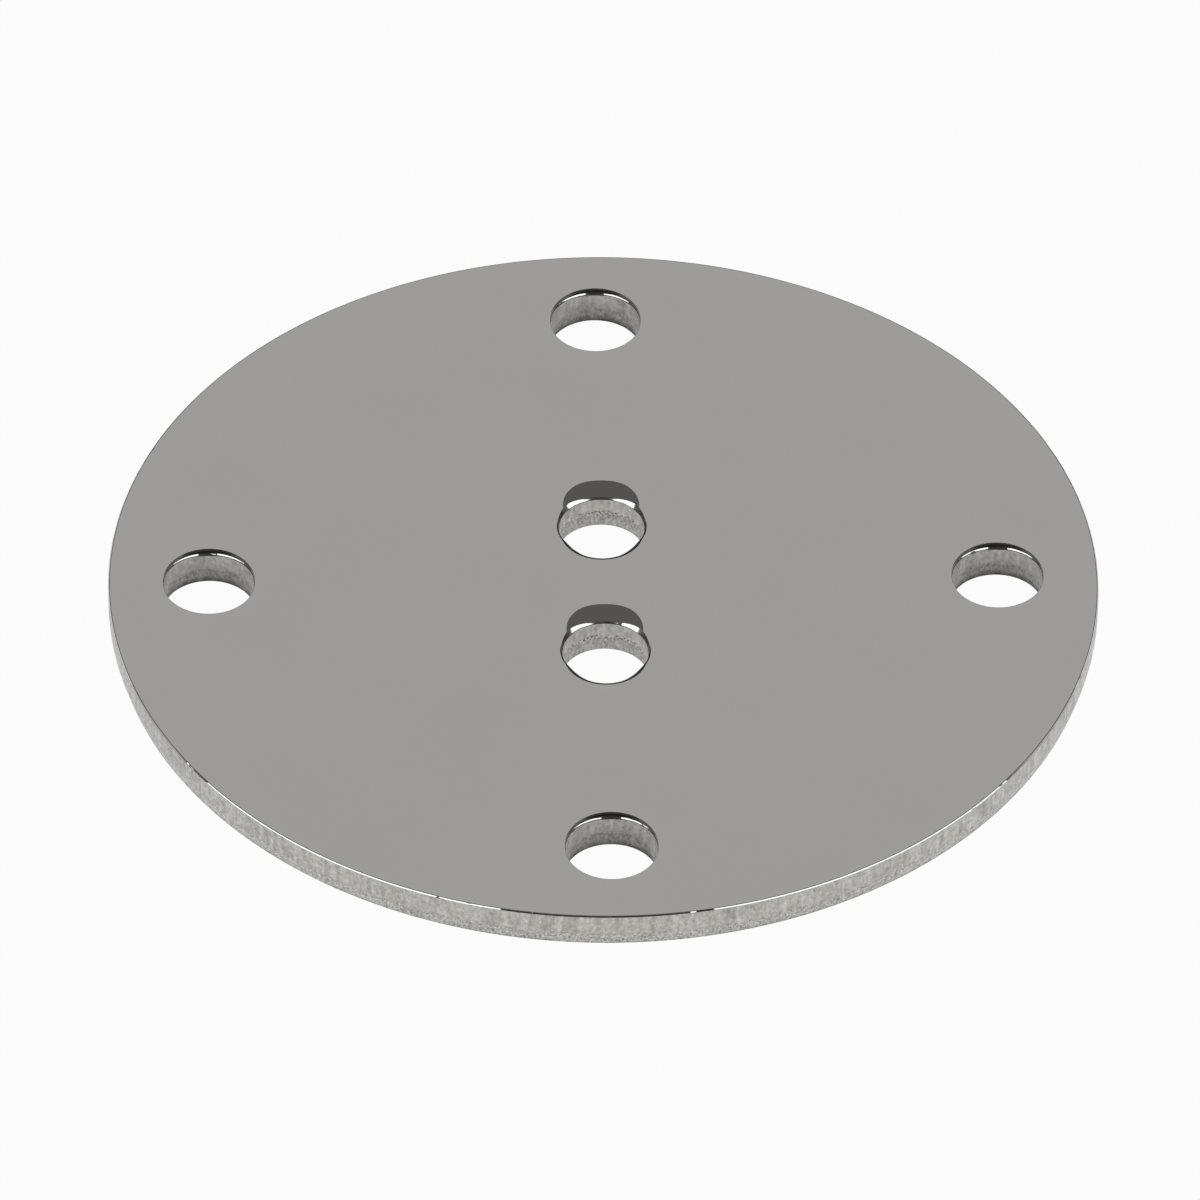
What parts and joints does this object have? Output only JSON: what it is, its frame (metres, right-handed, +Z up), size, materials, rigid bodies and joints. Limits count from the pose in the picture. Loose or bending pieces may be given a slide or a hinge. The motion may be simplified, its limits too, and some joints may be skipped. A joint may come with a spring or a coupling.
{
  "type": "round backing plate",
  "caption": "Flat round backing plate of polished stainless steel, with screw holes spaced round the rim and an inner pair of holes with washed-out edges across the middle",
  "frame": {"origin": "middle of the plate's underside, on the axis of the rim", "axes": "+Z up out of the polished face; +Y along the line of the inner pair, toward the side where the pair sits nearer the middle; +X through an outer hole"},
  "size_m": [0.0762, 0.0762, 0.003],
  "materials": {
    "polished_stainless": "mirror polished faces with buffed top edges, satin cut walls"
  },
  "bodies": {
    "root": {"backing_plate": "polished_stainless"}
  },
  "joints": []
}
